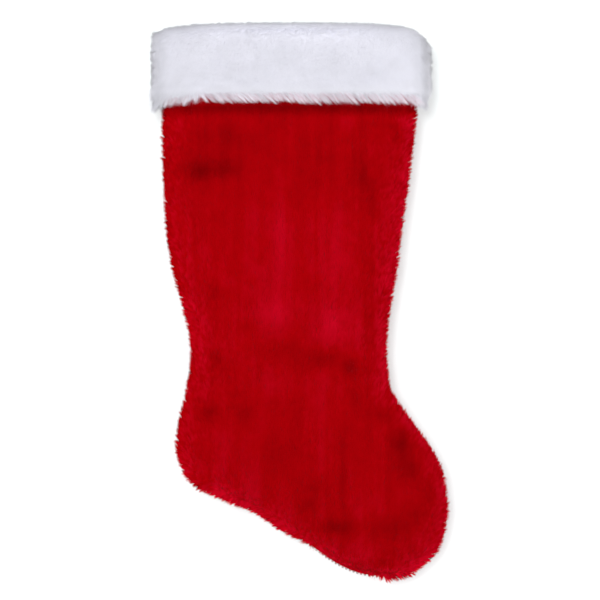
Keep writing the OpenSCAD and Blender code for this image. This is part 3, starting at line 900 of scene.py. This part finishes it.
        # painted shading on the front: greyer towards the top edge and the ends
        if side < 0:
            x = 0.4 * root[:, 0] + 0.6 * tip[:, 0]
            nap = np.stack([nap * np.where(ss < RIM + 3, painted_fur_shading(x, p[:, 2], ss, part in ("fringe", "under")), 1.0)
                            for p in (root, tip)], 1)
        lit = n + np.array([0, 0.25 * side, 0]) * (np.exp(-((ss - RIM) / 6.0) ** 2) * smooth(RIM + 4, RIM, ss))[:, None]
        lit[:, 2] *= 1 - 0.75 * smooth(14, 6, ss)
        lit = unit(lit + np.array([0, 0.6 * side if part in ("fringe", "under") else 0.0, 0]))
        extra = {"nap": nap}
        if part in ("fringe", "under"):
            # painted red bounce: full on the front, weaker on the back, none at the ends
            extra["painted_red_bounce"] = smooth(100, 93, np.abs(root[:, 0])) * (1.0 if side < 0 else 0.4)
        ob = strands(f"cuff_{word}_pile_{part}", root - n * 0.4, None, tip, width, lit, tone, extra, rng,
                     0.8 if part in ("fringe", "under") else 0.35 + 0.2 * smooth(RIM - 15, RIM - 6, ss), 1.6)
        dress(ob, {"fringe": FRINGE_PILE, "under": UNDER_PILE}.get(part, WHITE_PILE))
        made.append(ob)
    CUFF_PILE.extend(made)


for side in (-1, 1):
    cuff_side(side)
for side in (-1, 1):
    leg_side(side)

# ----------------------------------------------------------------------------
# Seams
# ----------------------------------------------------------------------------
def overcast(path, radius, pitch, per_turn=8):
    """Thread wound round a seam that runs along points in working coordinates, in the x-z plane."""
    p = np.asarray(path, float)
    cum = np.concatenate([[0], np.cumsum(np.linalg.norm(np.diff(p, axis=0), axis=1))])
    n = int(cum[-1] / pitch * per_turn)
    s = np.linspace(0, cum[-1], n)
    q = np.stack([np.interp(s, cum, p[:, k]) for k in range(3)], 1)
    tan = unit(np.gradient(q, axis=0))
    a = unit(np.cross(tan, np.array([0, 1.0, 0])))
    w = 2 * np.pi * s / pitch
    return q + radius * (np.cos(w)[:, None] * a + np.sin(w)[:, None] * np.array([0, 1.0, 0]))


t = np.linspace(0.2, LAST - 0.4, 220)
edge_l = leg_surface(t, np.zeros(len(t)), SEAM_IN - 0.2, FACE_IN, -1)
edge_r = leg_surface(t, np.ones(len(t)), SEAM_IN - 0.2, FACE_IN, -1)
edge = np.concatenate([edge_l, edge_r[::-1]])
edge[:, 1] = 0
v, f = tube(row(overcast(edge, 1.5, 3.2)), 0.00035, 5)
seam = mesh_object("leg_seam_stitches", v, f)
dress(seam, RED_THREAD)
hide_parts("side_seam_thread")

parts = []
for sign in (-1, 1):
    zs = np.linspace(-63, -14, 60)
    x = sign * (MOUTH_A + 4.2)
    parts.append(tube(row(overcast(np.stack([np.full(60, x), np.zeros(60), zs], 1), 1.5, 3.6)), 0.00035, 5))
v, f = joined(parts)
cuff_seam = mesh_object("cuff_seam_stitches", v, f)
dress(cuff_seam, WHITE_THREAD)
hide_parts("cuff_seam_thread")

for name in ("mouth_seam_thread", "loop_bartack"):
    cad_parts[name].data.materials.clear()
    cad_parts[name].data.materials.append(WHITE_THREAD)

# ----------------------------------------------------------------------------
# Hanging ribbon: both ends sewn to the facing, folded at the rim, doubled, and
# opened into a round eye.
# ----------------------------------------------------------------------------
FX, FZ = -87.4, -9.5
EX, EZ, ER = -78.8, -39.5, 7.6


def arc(cx, cz, r, a0, a1, n):
    w = np.radians(np.linspace(a0, a1, n))
    return np.stack([cx + r * np.cos(w), cz + r * np.sin(w)], 1)


line = np.concatenate([
    np.stack([np.full(12, -89.62), np.linspace(-28, -11, 12)], 1),
    arc(FX, FZ, 2.22, 180, 0, 16),
    np.stack([np.full(12, -85.18), np.linspace(-11, -30.6, 12)], 1),
    np.array([[-84.75, -32.0], [-83.6, -32.75], [-82.2, -32.7]]),
    arc(EX, EZ, ER, 108, -180, 56),
    np.stack([np.full(16, -86.38), np.linspace(-37.5, -11, 16)], 1),
    arc(FX, FZ, 1.02, 0, 180, 12),
    np.stack([np.full(12, -88.42), np.linspace(-11, -28, 12)], 1)])
cum = np.concatenate([[0], np.cumsum(np.linalg.norm(np.diff(line, axis=0), axis=1))])
s = np.linspace(0, cum[-1], 340)
line = np.stack([np.interp(s, cum, line[:, k]) for k in range(2)], 1)
for _ in range(3):
    line[1:-1] = (line[:-2] + 2 * line[1:-1] + line[2:]) / 4
tan = unit(np.gradient(line, axis=0))
nor = np.stack([tan[:, 1], -tan[:, 0]], 1)
HALF_W, HALF_T = 4.0, 0.5
profile = [(-1.0, -0.55), (-0.97, -1), (-0.86, -1.06), (-0.80, -0.92), (-0.4, -0.95), (0, -0.95), (0.4, -0.95), (0.80, -0.92),
           (0.86, -1.06), (0.97, -1), (1.0, -0.55)]
profile = profile + [(y, -tt) for y, tt in profile[::-1]]
m = len(profile)
verts, along, edges = [], [], []
for (py, pt) in profile:
    verts.append(np.stack([line[:, 0] + nor[:, 0] * pt * HALF_T, np.full(len(line), py * HALF_W), line[:, 1] + nor[:, 1] * pt * HALF_T], 1))
    along.append(s)
    edges.append(np.full(len(s), abs(py)))
verts = np.stack(verts, 1).reshape(-1, 3)
i, j = np.meshgrid(np.arange(len(line) - 1), np.arange(m), indexing="ij")
quads = np.stack([i * m + j, i * m + (j + 1) % m, (i + 1) * m + (j + 1) % m, (i + 1) * m + j], -1).reshape(-1, 4)
ribbon = mesh_object("hanging_ribbon", row(verts), [quads, np.arange(m)[::-1][None], ((len(line) - 1) * m + np.arange(m))[None]])
fix_normals(ribbon)
float_attribute(ribbon, "along", np.stack(along, 1).ravel())
float_attribute(ribbon, "edge", np.stack(edges, 1).ravel())
ribbon.data.materials.append(RIBBON)
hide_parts("hanging_loop", "loop_ends")
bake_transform(ribbon)

# ----------------------------------------------------------------------------
# Stage, light and camera
# ----------------------------------------------------------------------------
scene = bpy.context.scene


def plane(name, corners):
    ob = mesh_object(name, np.array(corners, float), np.array([[0, 1, 2, 3]]), False)
    return ob


FLOOR_Z = float(CAD_LOW.z) - 0.055
WALL_Y = float(CAD_HIGH.y) + 0.002
floor = plane("floor", [(-8, -8, FLOOR_Z), (8, -8, FLOOR_Z), (8, 8, FLOOR_Z), (-8, 8, FLOOR_Z)])
wall = plane("backdrop", [(-4, WALL_Y, FLOOR_Z), (4, WALL_Y, FLOOR_Z), (4, WALL_Y, 4), (-4, WALL_Y, 4)])
wall.visible_shadow = wall.visible_diffuse = wall.visible_glossy = False

m, nt, b = new_material("stage_floor", 0.9, 0.1)
b.inputs["Base Color"].default_value = (0.86, 0.86, 0.86, 1)
b.inputs["Emission Color"].default_value = (1, 1, 1, 1)
b.inputs["Emission Strength"].default_value = 0.22
floor.data.materials.append(m)

m, nt, b = new_material("stage_backdrop", 1.0, 0.0)
b.inputs["Base Color"].default_value = (0.345, 0.37, 0.372, 1)
b.inputs["Emission Color"].default_value = (1, 1, 1, 1)
b.inputs["Emission Strength"].default_value = 0.50
out = nt.nodes["Material Output"]
geo = nt.nodes.new("ShaderNodeNewGeometry")
clear = nt.nodes.new("ShaderNodeBsdfTransparent")
mix = nt.nodes.new("ShaderNodeMixShader")
nt.links.new(geo.outputs["Backfacing"], mix.inputs[0])
nt.links.new(b.outputs[0], mix.inputs[1])
nt.links.new(clear.outputs[0], mix.inputs[2])
nt.links.new(mix.outputs[0], out.inputs["Surface"])
wall.data.materials.append(m)


def sun(name, toward, strength, angle, colour=(1, 1, 1)):
    """Soft distant light shining along toward."""
    li = bpy.data.lights.new(name, "SUN")
    li.energy, li.angle, li.color = strength, math.radians(angle), colour
    ob = bpy.data.objects.new(name, li)
    ob.rotation_euler = Vector(toward).to_track_quat("-Z", "Y").to_euler()
    scene.collection.objects.link(ob)
    return ob


def lights_up(light, name, objects, state):
    """Limits a light to objects, or keeps it off them."""
    group = bpy.data.collections.new(name)
    for ob in objects:
        group.objects.link(ob)
    for item in group.collection_objects:
        item.light_linking.link_state = state
    light.light_linking.receiver_collection = group


lights_up(sun("key", (0.17, 1.0, -0.12), 2.52, 25, (1, 1, 1.09)), "not_by_key", [wall, floor], "EXCLUDE")
lights_up(sun("fill", (-0.8, 0.8, 0.6), 0.81, 70, (1, 1, 1.09)), "not_by_fill", [wall, floor], "EXCLUDE")
lights_up(sun("stage_key", (0.15, 1.0, -0.13), 3.1, 16), "by_stage_key", [wall, floor], "INCLUDE")
sun("back_fill", (-0.5, -1.0, -0.5), 2.0, 60)

world = bpy.data.worlds.new("studio")
scene.world = world
world.use_nodes = True
nt = world.node_tree
bg = nt.nodes["Background"]
bg.inputs["Color"].default_value = (1, 1, 1, 1)
bg.inputs["Strength"].default_value = 0.58
seen = nt.nodes.new("ShaderNodeBackground")
seen.inputs["Color"].default_value = (1, 1, 1, 1)
seen.inputs["Strength"].default_value = 1.0
path = nt.nodes.new("ShaderNodeLightPath")
mix = nt.nodes.new("ShaderNodeMixShader")
nt.links.new(path.outputs["Is Camera Ray"], mix.inputs[0])
nt.links.new(bg.outputs[0], mix.inputs[1])
nt.links.new(seen.outputs[0], mix.inputs[2])
nt.links.new(mix.outputs[0], nt.nodes["World Output"].inputs["Surface"])

# The photograph looks straight at the front from far off: 0.82 mm to a pixel of 600.
LENS, SPAN = 200.0, 0.492
cam_data = bpy.data.cameras.new("camera")
cam_data.lens, cam_data.sensor_width = LENS, 36.0
cam = bpy.data.objects.new("camera", cam_data)
at = row([7.6, 0, -228.8])
cam.location = (at[0], -SPAN * LENS / 36.0, at[2])
cam.rotation_euler = (math.radians(90), 0, 0)
cam_data.clip_end = 60
scene.collection.objects.link(cam)
scene.camera = cam
scene.view_settings.view_transform = "Standard"
scene.view_settings.look = "None"
scene.cycles.diffuse_bounces = 8
scene.cycles.max_bounces = 10
